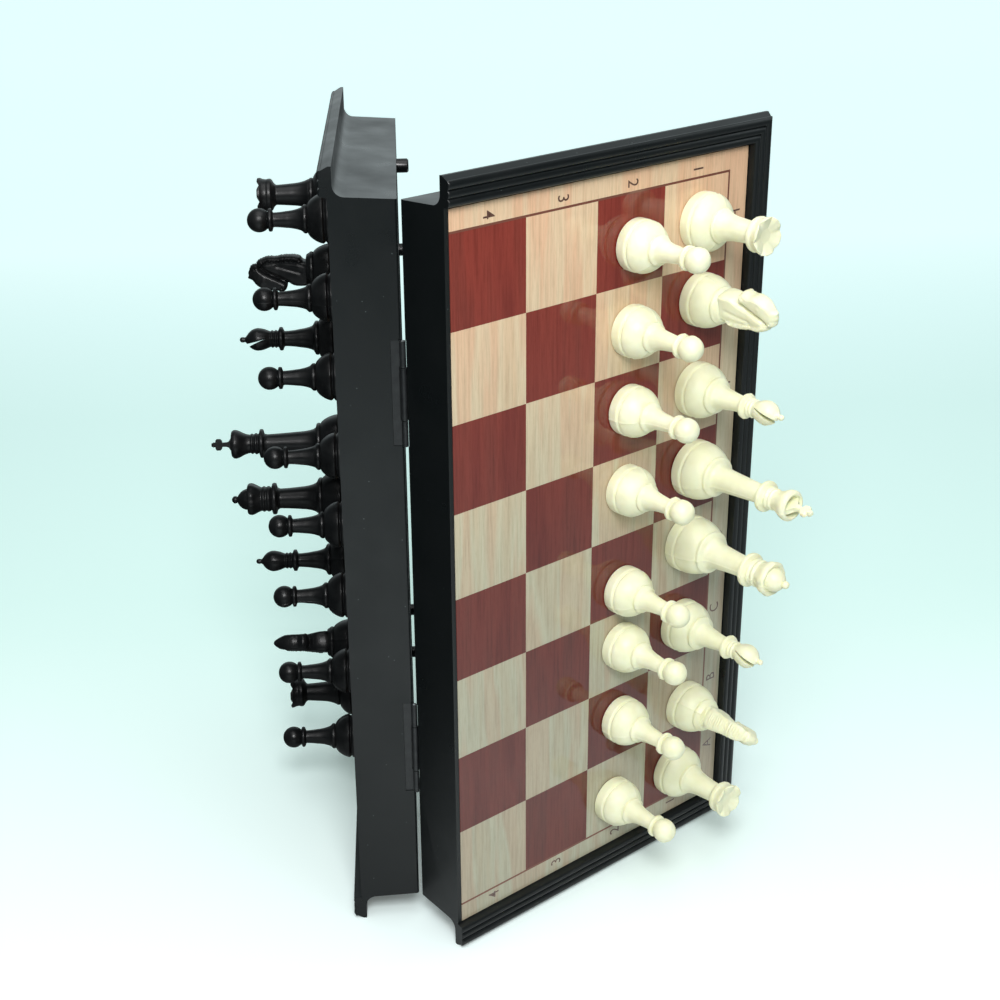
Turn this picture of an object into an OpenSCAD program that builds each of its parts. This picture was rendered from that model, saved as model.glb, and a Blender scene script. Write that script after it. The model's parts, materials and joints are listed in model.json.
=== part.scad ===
// Folding magnetic travel chess set, stood on end with its two halves open in a V.
// Millimetres, +Z up. The hinge axis is vertical and the V opens towards +Y.
// White's half lies towards +X and black's half towards -X.
//
// Each half is drawn in its own frame: x runs from the rim out to the board's face, y runs
// from the hinge axis across the board, and z runs along the hinge from file a to file h.

/* [Board] */
// Side of one square
square = 35; // [32:0.5:38]
// Printed border beyond the squares, at the two ends
print_border = 8.8; // [7:0.1:9.2]
// Case beyond the squares, at the two ends
case_border = 20.4; // [20:0.1:23]
// How much wider the margin is along the outer edge than at the ends
outer_margin = 2; // [0:0.1:3]
// Thickness of the printed board sheet
print_t = 0.35; // [0.2:0.05:0.5]
// Thickness of the steel sheet under the print
steel_t = 0.4; // [0.3:0.05:0.5]
// Gap between a half's flat sheets, and between a sheet and the case
sheet_gap = 0.05; // [0.02:0.01:0.1]

/* [Case] */
// Depth of one half, from its rim to the face of its frame
case_depth = 27.5; // [26:0.5:32]
// How far the frame's face stands above the printed board
frame_rise = 3; // [2.5:0.1:3.4]
// Height of the frame's outer edge
flange_edge = 5; // [4.5:0.1:6]
// How far the frame's flange overhangs the walls
overhang = 10.9; // [10.2:0.1:11.5]
// Radius of the cove where a wall meets the flange
cove_r = 4.4; // [3:0.1:5]
// Slope of the flange's edge, inwards over its height
edge_slope = 1.7; // [1:0.1:2]
// Height of the flat land on the flange's edge, which the set stands on
edge_land = 1.2; // [0.8:0.1:2]
// Draft of the walls, inwards from the cove to the rim
wall_draft = 1.1; // [0.5:0.1:1.5]
// Thickness of the end walls and the outer wall at the rim
wall = 2.2; // [1.8:0.1:2.6]
// Thickness of the wall along the hinge
spine_wall = 2.6; // [2.4:0.1:3]
// Thickness of the plate that backs the board
floor_t = 2.2; // [1.8:0.1:3]
// Width of the wall's edge that shows beside the board, along the hinge
spine_lip = 1.9; // [1.5:0.1:2.2]
// Rounding of the rim along the hinge
rim_round = 1; // [0.6:0.1:1.2]
// Width of each groove between the frame's ridges
groove_w = 0.5; // [0.3:0.1:0.6]
// Depth of each groove between the frame's ridges
groove_d = 0.6; // [0.3:0.1:0.8]
// From the frame's outer edge to its outer groove
outer_groove = 4.3; // [4:0.1:4.6]
// From the frame's outer edge to its inner groove
inner_groove = 6.9; // [6.4:0.1:7.1]
// Width of the frame's face, from its outer edge to the slope down to the board
frame_face = 8.4; // [8.2:0.1:8.7]

/* [Hinge] */
// Angle between the two boards' backs, as the set stands
open_angle = 53; // [30:1:80]
// From the hinge axis to the wall along the hinge
spine_gap = 0.5; // [0.4:0.05:0.8]
// From the hinge axis' plane to the rims, which leaves the rims clear of each other when shut
rim_gap = 0.4; // [0.3:0.05:0.6]
// Length of each hinge
hinge_len = 41; // [30:0.5:50]
// From the case's end to the nearer end of a hinge
hinge_inset = 63.7; // [50:0.1:80]
// Radius of the hinge barrel
barrel_r = 1.2; // [1.1:0.05:1.4]
// Radius of the hinge pin
pin_r = 0.5; // [0.4:0.05:0.6]
// Running clearance of the pin in the knuckles, on the radius
pin_clear = 0.05; // [0.02:0.01:0.08]
// Clearance round the barrel, where it turns in the case's walls
barrel_clear = 0.35; // [0.3:0.05:0.5]
// Length of the white leaf's middle knuckle
knuckle_len = 20.4; // [12:0.2:26]
// Gap between two knuckles
knuckle_gap = 0.3; // [0.2:0.05:0.5]
// Thickness of a leaf
leaf_t = 0.8; // [0.6:0.05:1]
// How far a leaf reaches from the axis into its half
leaf_reach = 4.4; // [4:0.1:5]
// Clearance round a leaf in its seat
leaf_clear = 0.1; // [0.05:0.05:0.2]
// How far the black leaf lies below the face of its wall
leaf_sink = 0.35; // [0.3:0.05:0.5]
// Plastic left outside the white leaf's slot
slot_skin = 0.7; // [0.6:0.05:0.8]

/* [Locating pegs] */
// Radius of a peg
peg_r = 2.75; // [2:0.05:3]
// How far a peg stands out of the rim
peg_len = 4.8; // [3:0.1:6]
// Rounding of a peg's end
peg_round = 0.6; // [0.3:0.1:1]
// Clearance between a peg and its socket, on the radius
peg_clear = 0.3; // [0.25:0.05:0.5]
// Plastic round a socket
socket_wall = 1.7; // [1.4:0.1:2]
// From the hinge axis to the pegs in the end walls
end_peg_reach = 76; // [60:1:90]
// From an end wall's inner face to its peg's middle
end_peg_in = 2.2; // [2:0.1:3]
// From the outer wall's inner face to its pegs' middles
outer_peg_in = 1.9; // [1.8:0.1:3]
// From the case's end to each paired peg in the outer wall
outer_peg_inset = 69.5; // [62:0.5:80]
// From the case's end to the odd peg, which lets the halves shut one way round only
odd_peg_inset = 45.8; // [35:0.5:50]

/* [Men] */
// Radius of a pawn's base
pawn_base_r = 10.3; // [9.5:0.1:11]
// Radius of a rook's base
rook_base_r = 11.7; // [11:0.1:12.4]
// Radius of a knight's base
knight_base_r = 10.9; // [10.4:0.1:11.5]
// Radius of a bishop's base
bishop_base_r = 11.3; // [10.6:0.1:12]
// Radius of the base of a king or queen
royal_base_r = 12.3; // [11.6:0.1:12.8]
// Height of a pawn
pawn_h = 36.9; // [34:0.1:39]
// Height of a rook
rook_h = 34.8; // [33:0.1:37]
// Height of a knight
knight_h = 41.6; // [39:0.1:44]
// Height of a bishop
bishop_h = 47.2; // [44:0.1:50]
// Height of a queen
queen_h = 56.2; // [53:0.1:59]
// Height of a king
king_h = 63.6; // [60:0.1:67]
// Greatest thickness of a knight's head
knight_t = 9.6; // [9:0.1:10.4]
// Gap under a standing man, left by the tooth of its moulded rim
stand_gap = 0.1; // [0.05:0.05:0.2]
// Radius of a magnet
magnet_r = 5; // [4:0.1:6]
// Thickness of a magnet
magnet_t = 3; // [2:0.1:4]
// Clearance round a magnet in its pocket
magnet_clear = 0.1; // [0.05:0.05:0.2]
// How far a magnet lies inside the underside of its base
magnet_sink = 0.3; // [0.2:0.05:0.5]

/* [Places of the men] */
// White's first rank: nudge from the middle of the square, away from the hinge and towards file h
white_rank_nudge = [[-0.6, -3.3], [5, -6.8], [0, 0.3], [1.6, 3.7], [3.5, 2.1], [2.6, 2.1], [2.8, 4.7],
    [2, 1.1]];
// White's pawns
white_pawn_nudge = [[-3, -2.9], [0.1, 1.7], [-0.7, 2.5], [-0.3, -6.4], [-0.5, 3.7], [0, 2.5], [0.3, -0.2],
    [1.8, -1.9]];
// Black's first rank
black_rank_nudge = [[0, 0.6], [0, -7.1], [0, 2.1], [0, -1], [0, -8.5], [0, 6], [0, 2.3], [0, 0.1]];
// Black's pawns
black_pawn_nudge = [[0, -2.9], [0, -3.1], [0, 1], [0, 0.9], [0, -1.5], [0, -0.1], [0, -0.4], [0, -2.1]];
// How far each of white's first rank is turned, from facing file h
white_turns = [40, 124, 210, 82, 69, 204, 2, 20];
// How far each of black's first rank is turned, from facing file h
black_turns = [15, -56, 205, 30, 18, 200, 184, 20];

/* [Hidden] */
$fn = 48;
FILES = 8;
RANKS = 4;
FILE_NAMES = ["a", "b", "c", "d", "e", "f", "g", "h"];
RANK_KINDS = ["rook", "knight", "bishop", "queen", "king", "bishop", "knight", "rook"];
HINGES = ["lower", "upper"];

half_open = open_angle / 2;
case_len = FILES * square + 2 * case_border;

// Levels along x, from the hinge axis' plane to the frame's face
rim = rim_gap;
face = rim + case_depth;
board_top = face - frame_rise;
print_floor = board_top - print_t;
steel_floor = print_floor - sheet_gap - steel_t;
recess_floor = steel_floor - sheet_gap;
tray_floor = recess_floor - floor_t;
flange_under = face - flange_edge;

// Places along y, from the hinge axis to the outer edge
spine = spine_gap;
print_start = spine + spine_lip + 0.2;
half_width = print_start + RANKS * square + case_border + outer_margin;
recess_edge = overhang;
tray_edge = overhang + wall_draft + wall;
tray_start = spine + spine_wall;
print_reach = RANKS * square + print_border + outer_margin;
print_len = FILES * square + 2 * print_border;
steel_inset = 0.4;

peg_level = rim - peg_len;
socket_r = peg_r + peg_clear;
socket_depth = peg_len + 1.2;
boss_r = socket_r + socket_wall;
end_peg_z = tray_edge + end_peg_in;
outer_peg_y = half_width - tray_edge - outer_peg_in;

swing_r = barrel_r + barrel_clear;
knuckle_bore_r = pin_r + pin_clear;
leaf_start = swing_r + 0.05;
web_low = barrel_r - 0.35;
web_reach = barrel_r - 0.4;
slot_reach = leaf_reach + leaf_clear;

// The V's nearest and furthest corners along Y put the hinge axis where the part's middle is Y = 0
near_y = spine * cos(half_open) - face * sin(half_open);
far_y = (outer_peg_y + peg_r) * cos(half_open) - (peg_level + peg_round) * sin(half_open);
hinge_y = -(near_y + far_y) / 2;

function man_name(side, kind, file) =
    (kind == "king" || kind == "queen") ? str(side, "_", kind)
    : str(side, "_", kind, "_", FILE_NAMES[file]);

SIDES = ["white", "black"];
MEN = [for (side = SIDES) each concat(
    [for (file = [0 : FILES - 1]) [side, RANK_KINDS[file], file]],
    [for (file = [0 : FILES - 1]) [side, "pawn", file]])];

// A box from one corner to the opposite one
module block(low, high) {
    translate(low)
        cube(high - low);
}

// A round bar along x
module bar_x(x0, x1, y, z, r) {
    translate([x0, y, z])
        rotate([0, 90, 0])
            cylinder(h = x1 - x0, r = r);
}

// Puts a thing drawn in a half's own frame into its place in the standing set
module on_half(side) {
    translate([0, hinge_y, 0])
        mirror([side == "black" ? 1 : 0, 0, 0])
            rotate([0, 0, -half_open])
                children();
}

function arc(cx, cy, r, a0, a1, steps) =
    [for (i = [0 : steps]) let (a = a0 + (a1 - a0) * i / steps) [cx + r * cos(a), cy + r * sin(a)]];

// ---- The moulded case of one half ----

// Outline across the half, from the hinge to the outer edge, as [x, y]
function across_outline() = concat(
    arc(rim + rim_round, spine + rim_round, rim_round, 270, 180, 5),
    [[rim, half_width - overhang - wall_draft]],
    arc(flange_under - cove_r, half_width - overhang + cove_r, cove_r, 270, 360, 8),
    [[flange_under, half_width], [flange_under + edge_land, half_width],
        [face, half_width - edge_slope], [face, spine]]);

// Outline along the half, from end to end, as [x, z]
function end_outline() = concat(
    [[rim, overhang + wall_draft]],
    arc(flange_under - cove_r, overhang - cove_r, cove_r, 90, 0, 8),
    [[flange_under, 0], [flange_under + edge_land, 0], [face, edge_slope]]);
function along_outline() = let (near = end_outline(), n = len(near)) concat(
    near, [for (i = [n - 1 : -1 : 0]) [near[i][0], case_len - near[i][1]]]);

// What lies inside both outlines, so that the frame's corners are mitred
module mitred(across, along, y0, y1) {
    intersection() {
        linear_extrude(case_len)
            polygon(across);
        translate([0, y1, 0])
            rotate([90, 0, 0])
                linear_extrude(y1 - y0)
                    polygon(along);
    }
}

// The recess for the sheets, with the slope from the frame's face down to it
module board_recess() {
    over = 1;
    slope_end = face + over;
    rate = (recess_edge - frame_face) / frame_rise;
    slope_in = recess_edge - (frame_rise + over) * rate;
    start = spine + spine_lip;
    mitred(
        [[recess_floor, start], [recess_floor, half_width - recess_edge],
            [board_top, half_width - recess_edge], [slope_end, half_width - slope_in],
            [slope_end, -over], [board_top, -over], [board_top, start]],
        [[recess_floor, recess_edge], [board_top, recess_edge], [slope_end, slope_in],
            [slope_end, case_len - slope_in], [board_top, case_len - recess_edge],
            [recess_floor, case_len - recess_edge]],
        -over, half_width);
}

// One groove round the three framed sides, at a distance from the outer edge
module frame_groove(edge) {
    inner = edge + groove_w;
    difference() {
        block([face - groove_d, -1, edge], [face + 1, half_width - edge, case_len - edge]);
        block([face - 2 * groove_d, -2, inner], [face + 2, half_width - inner, case_len - inner]);
    }
}

// Where the pegs stand, as [y, z]
function peg_places() = [
    [end_peg_reach, end_peg_z], [end_peg_reach, case_len - end_peg_z],
    [outer_peg_y, outer_peg_inset], [outer_peg_y, case_len - outer_peg_inset],
    [outer_peg_y, odd_peg_inset]];

// The tray inside a half, less the bosses that stand in it
module tray_hollow(boss) {
    difference() {
        block([rim - 1, tray_start, tray_edge], [tray_floor, half_width - tray_edge, case_len - tray_edge]);
        for (p = peg_places())
            bar_x(rim - 2, tray_floor + 1, p[0], p[1], boss);
    }
}

function hinge_z(h) = h == "lower" ? hinge_inset : case_len - hinge_inset - hinge_len;

module case_body(boss) {
    difference() {
        mitred(across_outline(), along_outline(), spine, half_width);
        tray_hollow(boss);
        board_recess();
        frame_groove(outer_groove);
        frame_groove(inner_groove);
        for (h = HINGES)
            translate([0, 0, hinge_z(h) - knuckle_gap])
                cylinder(h = hinge_len + 2 * knuckle_gap, r = swing_r);
    }
}

// White's half: sockets for the pegs, and a slot in the wall for each leaf
module white_half_case() {
    color([0.03, 0.03, 0.035])
        difference() {
            case_body(boss_r);
            for (p = peg_places())
                bar_x(rim - 1, rim + socket_depth, p[0], p[1], socket_r);
            for (h = HINGES)
                block([rim - 1, spine + slot_skin, hinge_z(h) - leaf_clear],
                    [slot_reach, spine + slot_skin + leaf_t + 2 * leaf_clear,
                        hinge_z(h) + hinge_len + leaf_clear]);
        }
}

// Black's half: the pegs, and an open notch in the wall for each leaf
module black_half_case() {
    color([0.03, 0.03, 0.035]) {
        difference() {
            case_body(peg_r + socket_wall);
            for (h = HINGES)
                block([rim - 1, spine - 1, hinge_z(h) - leaf_clear],
                    [slot_reach, spine + leaf_sink + leaf_t + leaf_clear,
                        hinge_z(h) + hinge_len + leaf_clear]);
        }
        for (p = peg_places())
            translate([peg_level, p[0], p[1]])
                rotate([0, 90, 0])
                    rotate_extrude()
                        polygon([[0, 0], [peg_r - peg_round, 0], [peg_r, peg_round],
                            [peg_r, rim + 1 - peg_level], [0, rim + 1 - peg_level]]);
    }
}

// ---- The sheets that make the board ----

module steel_sheet() {
    color([0.55, 0.56, 0.58])
        block([steel_floor, print_start + steel_inset, case_border - print_border + steel_inset],
            [steel_floor + steel_t, print_start + print_reach - steel_inset,
                case_len - case_border + print_border - steel_inset]);
}

module board_print() {
    color([0.72, 0.55, 0.45])
        block([print_floor, print_start, case_border - print_border],
            [board_top, print_start + print_reach, case_border - print_border + print_len]);
}

// ---- The hinges ----

module knuckle(z0, z1) {
    translate([0, 0, z0])
        difference() {
            cylinder(h = z1 - z0, r = barrel_r);
            translate([0, 0, -1])
                cylinder(h = z1 - z0 + 2, r = knuckle_bore_r);
        }
}

// One leaf: its plate, and the web and barrel of each of its knuckles
module leaf(y0, spans, z0) {
    color([0.06, 0.06, 0.065]) {
        block([leaf_start, y0, z0], [leaf_reach, y0 + leaf_t, z0 + hinge_len]);
        for (s = spans) {
            knuckle(z0 + s[0], z0 + s[1]);
            block([0, y0, z0 + s[0]], [leaf_start + 0.1, y0 + leaf_t, z0 + s[1]]);
            difference() {
                block([0, web_low, z0 + s[0]], [web_reach, y0 + leaf_t, z0 + s[1]]);
                translate([0, 0, z0 - 1])
                    cylinder(h = hinge_len + 2, r = knuckle_bore_r);
            }
        }
    }
}

outer_span = (hinge_len - knuckle_len) / 2 - knuckle_gap;

module black_leaf(h) {
    leaf(spine + leaf_sink, [[0, outer_span], [hinge_len - outer_span, hinge_len]], hinge_z(h));
}

module white_leaf(h) {
    leaf(spine + slot_skin + leaf_clear,
        [[outer_span + knuckle_gap, hinge_len - outer_span - knuckle_gap]], hinge_z(h));
}

module hinge_pin(h) {
    color([0.6, 0.6, 0.62])
        translate([0, 0, hinge_z(h)])
            cylinder(h = hinge_len, r = pin_r);
}

// ---- The men, each drawn standing on z = 0 ----

// How full the dome of a foot is: 1 makes it a cone, 2 a quarter of an ellipse
dome_full = 1.5;

// The turned foot that all the men share: rim, groove, dome and upper ring, as [radius, height]
function foot(base_r, ring_r, ring_z) = concat(
    [[0, 0], [base_r - 0.4, 0], [base_r, 0.4], [base_r, 4.4], [base_r - 0.6, 4.9], [base_r - 0.2, 5.4]],
    [for (i = [1 : 5]) let (t = i / 5, dome_r = ring_r - 0.4)
        [dome_r + (base_r - 0.2 - dome_r) * pow(1 - pow(t, dome_full), 1 / dome_full),
            5.4 + (ring_z - 5.8) * t]],
    [[ring_r, ring_z], [ring_r, ring_z + 1], [ring_r - 0.5, ring_z + 1.5]]);

// A turned ring on a shaft
function bead(r, z, h, depth) =
    [[r - depth, z - h / 2], [r, z - h / 4], [r, z + h / 4], [r - depth, z + h / 2]];

module turned(points) {
    rotate_extrude()
        polygon(points);
}

module pawn_figure() {
    ball_r = 4.9;
    ball_z = pawn_h - ball_r;
    neck_slope = 44;
    turned(concat(
        foot(pawn_base_r, 5.7, 12.8),
        [[4.7, 15], [3.8, 17.6], [3.3, 21], [2.9, ball_z - 6.4]],
        bead(4.6, ball_z - 4.7, 2.2, 1.5),
        arc(0, ball_z, ball_r, -neck_slope, 90, 12)));
}

module rook_figure() {
    top_r = 7.3;
    turret = rook_h - 5.4;
    notch_w = 3.2;
    notch_d = 1.1;
    difference() {
        turned(concat(
            foot(rook_base_r, 6.7, 11.4),
            [[6.2, 13.2], [5.2, 16], [4.6, 19.6], [4.3, 23], [4.1, turret - 2.4], [5.2, turret - 1.2],
                [6.6, turret], [6.6, turret + 1], [6.3, turret + 1.6], [6.6, rook_h - 2],
                [top_r, rook_h - 0.9], [top_r, rook_h], [6.6, rook_h], [2.8, rook_h - 1.5],
                [0, rook_h - 1.8]]));
        for (a = [0 : 60 : 120])
            rotate([90, 0, a])
                linear_extrude(2 * top_r + 2, center = true)
                    polygon([[0, rook_h - notch_d], [notch_w / 2, rook_h + 0.1],
                        [-notch_w / 2, rook_h + 0.1]]);
    }
}

module bishop_figure() {
    head_z = bishop_h - 7.9;
    collar_z = bishop_h - 18.4;
    slit_reach = 9;
    difference() {
        turned(concat(
            foot(bishop_base_r, 7.5, 12.2),
            [[5, 15], [4.4, 17.4], [3.9, 21], [3.4, 24.6], [3.3, collar_z - 1.6]],
            bead(5.1, collar_z, 2.4, 1.6), bead(3.8, collar_z + 2.3, 1.3, 0.4),
            bead(3.8, collar_z + 4, 1.3, 0.4),
            [[3.4, head_z - 5], [4.2, head_z - 3], [4.8, head_z - 1], [4.9, head_z + 0.6],
                [4.6, head_z + 2.2], [3.2, head_z + 4], [1.7, head_z + 5.1], [1, head_z + 5.6],
                [1.2, head_z + 7],
                [0.9, bishop_h - 0.2], [0, bishop_h]]));
        rotate([90, 0, 0])
            linear_extrude(2 * slit_reach, center = true)
                polygon([[-0.5, head_z - 4.1], [-0.2, head_z - 4.2], [3.1, head_z + 3.6],
                    [slit_reach, head_z + 5], [slit_reach, head_z + 8.6], [1.9, head_z + 5]]);
    }
}

module queen_figure() {
    crown = queen_h - 9.2;
    turned(concat(
        foot(royal_base_r, 9.1, 14.6),
        [[6.4, 17.8], [5.5, 20.6], [4.9, 26], [4.5, crown - 13]],
        bead(7.2, crown - 10.6, 2.4, 2.2), bead(5.7, crown - 8.1, 1.5, 0.5), bead(5.7, crown - 6.2, 1.5, 0.5),
        [[5.2, crown - 4.8], [6.1, crown - 2.4], [6.9, crown - 1], [7.1, crown + 0.4], [6.8, crown + 1.4],
            [5.9, crown + 1.8], [4.9, crown + 1.4], [4.4, crown + 3.4], [2.6, crown + 5.6],
            [1.3, crown + 6.5], [1.7, crown + 7.6], [1.4, queen_h - 0.6], [0, queen_h]]));
}

module king_figure() {
    crown = king_h - 10.6;
    arm = 2.2;
    arm_z = king_h - 3.5;
    turned(concat(
        foot(royal_base_r, 8.5, 14),
        [[6, 17], [5.3, 19.8], [4.7, 26], [4.1, crown - 14.2]],
        bead(6.4, crown - 12.2, 2.4, 2.2), bead(4.7, crown - 9.6, 1.4, 0.5), bead(4.5, crown - 7.8, 1.4, 0.5),
        [[4, crown - 6.2], [4.6, crown - 4.4], [5.4, crown - 3], [6.3, crown - 1.4], [6.4, crown - 0.2],
            [6.2, crown + 0.6], [5.6, crown + 1.2], [4.9, crown + 1.2], [3.8, crown + 2], [2.2, crown + 2.8],
            [1.3, crown + 4], [0, crown + 4]]));
    translate([0, 0, (crown + king_h + 2) / 2])
        cube([1.9, 1.8, king_h - crown - 2], center = true);
    translate([0, 0, arm_z])
        cube([2 * arm, 1.8, 1.8], center = true);
}

// A horse's head and neck in side view, as [forwards, height], for a knight 41.6 mm tall
function horse_outline() = [
    [-4.4, 15.6], [-6, 19.2], [-6.5, 22.6], [-6.4, 26], [-6.1, 30.4], [-5.6, 33.6], [-4.2, 36.9],
    [-2.7, 38.2], [-2.5, 39.6], [0.8, 41.4], [3.3, 41.6], [4.2, 39.8], [5.2, 38.9], [7.5, 36.3],
    [8.6, 33.4], [8.9, 30.6], [9.6, 27.4], [9.1, 25.7], [7.3, 24.6], [5.9, 24.5], [4.6, 26.6], [3.2, 28.8],
    [2, 29.6], [2.9, 27.2], [4.9, 23.8], [6.4, 21.6], [6.9, 19.2], [6.7, 15.6]];

// A knight's edge view, as [half thickness, share of the height]
KNIGHT_EDGE = [[knight_t / 2, 0.37], [knight_t / 2, 0.45], [0.42 * knight_t, 0.58], [0.35 * knight_t, 0.7],
    [0.36 * knight_t, 0.86], [0.26 * knight_t, 1.01]];

module knight_figure() {
    k = knight_h / 41.6;
    reach = 2 * knight_base_r;
    side = [for (p = KNIGHT_EDGE) [p[0], p[1] * knight_h]];
    other_side = [for (i = [len(side) - 1 : -1 : 0]) [-side[i][0], side[i][1]]];
    turned(concat(foot(knight_base_r, 7.5, 12.4), [[6.8, 15.2], [6.4, 16.2], [0, 16.2]]));
    intersection() {
        translate([0, knight_t / 2, 0])
            rotate([90, 0, 0])
                linear_extrude(knight_t)
                    polygon([for (p = horse_outline()) [p[0], p[1] * k]]);
        translate([-reach / 2, 0, 0])
            rotate([90, 0, 90])
                linear_extrude(reach)
                    polygon(concat(side, other_side));
    }
}

module figure_of(kind) {
    if (kind == "pawn") pawn_figure();
    if (kind == "rook") rook_figure();
    if (kind == "knight") knight_figure();
    if (kind == "bishop") bishop_figure();
    if (kind == "queen") queen_figure();
    if (kind == "king") king_figure();
}

// A man: its moulded figure, and the magnet held in the foot
module man(side, kind) {
    pocket = magnet_sink + magnet_t + magnet_clear;
    color(side == "white" ? [0.93, 0.91, 0.78] : [0.035, 0.035, 0.04])
        difference() {
            figure_of(kind);
            translate([0, 0, -1])
                cylinder(h = pocket + 1, r = magnet_r + magnet_clear);
        }
    color([0.25, 0.25, 0.27])
        translate([0, 0, magnet_sink])
            cylinder(h = magnet_t, r = magnet_r);
}

// A man's place on its half: ranks 4 and 5 lie along the hinge, and file a is at the foot
module placed_man(side, kind, file) {
    row = kind == "pawn" ? 2 : 3;
    nudges = side == "white"
        ? (kind == "pawn" ? white_pawn_nudge : white_rank_nudge)
        : (kind == "pawn" ? black_pawn_nudge : black_rank_nudge);
    turn = kind == "pawn" ? 0 : (side == "white" ? white_turns : black_turns)[file];
    translate([board_top + stand_gap, print_start + (row + 0.5) * square + nudges[file][0],
            case_border + (file + 0.5) * square + nudges[file][1]])
        rotate([0, 90, 0])
            rotate([0, 0, 180 - turn])
                man(side, kind);
}

// ---- The nodes ----

on_half("white") white_half_case();
on_half("white") steel_sheet();  // white_half_steel_sheet
on_half("white") board_print();  // white_half_board_print
on_half("black") black_half_case();
on_half("black") steel_sheet();  // black_half_steel_sheet
on_half("black") board_print();  // black_half_board_print
for (h = HINGES) {
    on_half("black") hinge_pin(h);
    on_half("black") black_leaf(h);
    on_half("white") white_leaf(h);
}
for (m = MEN)
    on_half(m[0]) placed_man(m[0], m[1], m[2]);
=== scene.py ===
import json
import math
from functools import partial

import bmesh
import bpy
from mathutils import Matrix, Vector
from mathutils.geometry import delaunay_2d_cdt


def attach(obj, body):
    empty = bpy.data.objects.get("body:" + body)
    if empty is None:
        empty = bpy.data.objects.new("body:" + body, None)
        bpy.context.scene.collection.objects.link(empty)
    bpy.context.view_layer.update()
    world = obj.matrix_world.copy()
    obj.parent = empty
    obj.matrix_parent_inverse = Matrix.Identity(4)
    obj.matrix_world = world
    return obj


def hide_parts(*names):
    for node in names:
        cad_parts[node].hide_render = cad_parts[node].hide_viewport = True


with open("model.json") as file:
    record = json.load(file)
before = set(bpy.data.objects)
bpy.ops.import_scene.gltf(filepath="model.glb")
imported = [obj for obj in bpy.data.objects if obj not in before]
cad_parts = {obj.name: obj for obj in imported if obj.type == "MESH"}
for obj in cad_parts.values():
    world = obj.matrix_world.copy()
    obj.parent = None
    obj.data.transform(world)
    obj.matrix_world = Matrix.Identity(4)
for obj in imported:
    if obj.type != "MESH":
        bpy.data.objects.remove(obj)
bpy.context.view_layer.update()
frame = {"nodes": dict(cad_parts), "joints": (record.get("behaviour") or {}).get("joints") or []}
scene = bpy.context.scene


# ------------------------------------------------------------------ The two half cases
# Each half of the set is one black moulding in satin plastic: a shallow tray whose back is the
# bed of the board, with a ridged flange round three sides like a picture frame.
# The black half has the locating pegs, the white half their sockets.
MM = 0.001
hinge = next(j for j in frame["joints"] if j["name"] == "board_hinge")
hinge_y = hinge["pos_m"][1]
half_open = math.radians(-hinge["range_deg"][0] / 2)

# A half's own directions in the row frame: out of its board, and away from the hinge
out_of_board = {
    "white": Vector((math.cos(half_open), -math.sin(half_open), 0)),
    "black": Vector((-math.cos(half_open), -math.sin(half_open), 0)),
}
away_from_hinge = {
    "white": Vector((math.sin(half_open), math.cos(half_open), 0)),
    "black": Vector((-math.sin(half_open), math.cos(half_open), 0)),
}


def on_half(side, out, away, up):
    """A point of a half, in mm from the hinge axis and the foot, in the row frame"""
    return (
        Vector((0, hinge_y, 0))
        + out_of_board[side] * (out * MM)
        + away_from_hinge[side] * (away * MM)
        + Vector((0, 0, up * MM))
    )


def mesh_piece(name, bm, material, body, smooth_below=40):
    """A finished mesh becomes a piece that rides on a body, smooth except at its sharp edges"""
    mesh = bpy.data.meshes.new(name)
    bm.to_mesh(mesh)
    bm.free()
    for polygon in mesh.polygons:
        polygon.use_smooth = True
    mesh.set_sharp_from_angle(angle=math.radians(smooth_below))
    mesh.materials.append(material)
    piece = bpy.data.objects.new(name, mesh)
    scene.collection.objects.link(piece)
    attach(piece, body)
    return piece


def plug(tree, node, inputs):
    """Set a node's inputs, or link them"""
    for key, value in inputs.items():
        if isinstance(value, bpy.types.NodeSocket):
            tree.links.new(value, node.inputs[key])
        else:
            node.inputs[key].default_value = value


def add(tree, kind, inputs=None, **settings):
    """A node in a tree, with its settings and inputs"""
    made = tree.nodes.new(kind)
    for key, value in settings.items():
        setattr(made, key, value)
    plug(tree, made, inputs or {})
    return made


def between(tree, value, low, high, to_low, to_high):
    """A value carried from one range to another, and held at its ends"""
    return add(tree, "ShaderNodeMapRange", {0: value, 1: low, 2: high, 3: to_low, 4: to_high}).outputs[0]


def noise(tree, where, scale, detail):
    """A noise pattern's value"""
    inputs = {"Vector": where, "Scale": scale, "Detail": detail}
    return add(tree, "ShaderNodeTexNoise", inputs).outputs["Fac"]


def finish_material(name):
    """An empty material, its tree, its Principled shader and its Object coordinates"""
    material = bpy.data.materials.new(name)
    material.use_nodes = True
    tree = material.node_tree
    here = add(tree, "ShaderNodeTexCoord").outputs["Object"]
    return material, tree, tree.nodes["Principled BSDF"], here


def ramp(tree, factor, stops):
    """A colour ramp from (place, colour) stops"""
    made = add(tree, "ShaderNodeValToRGB", {"Fac": factor})
    elements = made.color_ramp.elements
    while len(elements) < len(stops):
        elements.new(0.5)
    for element, (place, colour) in zip(elements, stops):
        element.position = place
        element.color = (*colour, 1)
    return made.outputs["Color"]


case_plastic, tree, shader, here = finish_material("black_case_plastic")
dust = add(tree, "ShaderNodeTexVoronoi", {"Vector": here, "Scale": 190}).outputs["Distance"]
grain = noise(tree, here, 2600, 2)
bump = add(tree, "ShaderNodeBump", {"Height": grain, "Strength": 0.12, "Distance": 0.0001})
plug(tree, shader, {
    "Base Color": ramp(tree, dust, [(0.02, (0.10, 0.12, 0.12)), (0.045, (0.0035, 0.0048, 0.0052))]),
    "Specular IOR Level": 0.4,
    "Roughness": between(tree, noise(tree, here, 45, 4), 0.3, 0.7, 0.26, 0.42),
    "Normal": bump.outputs[0],
})

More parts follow.
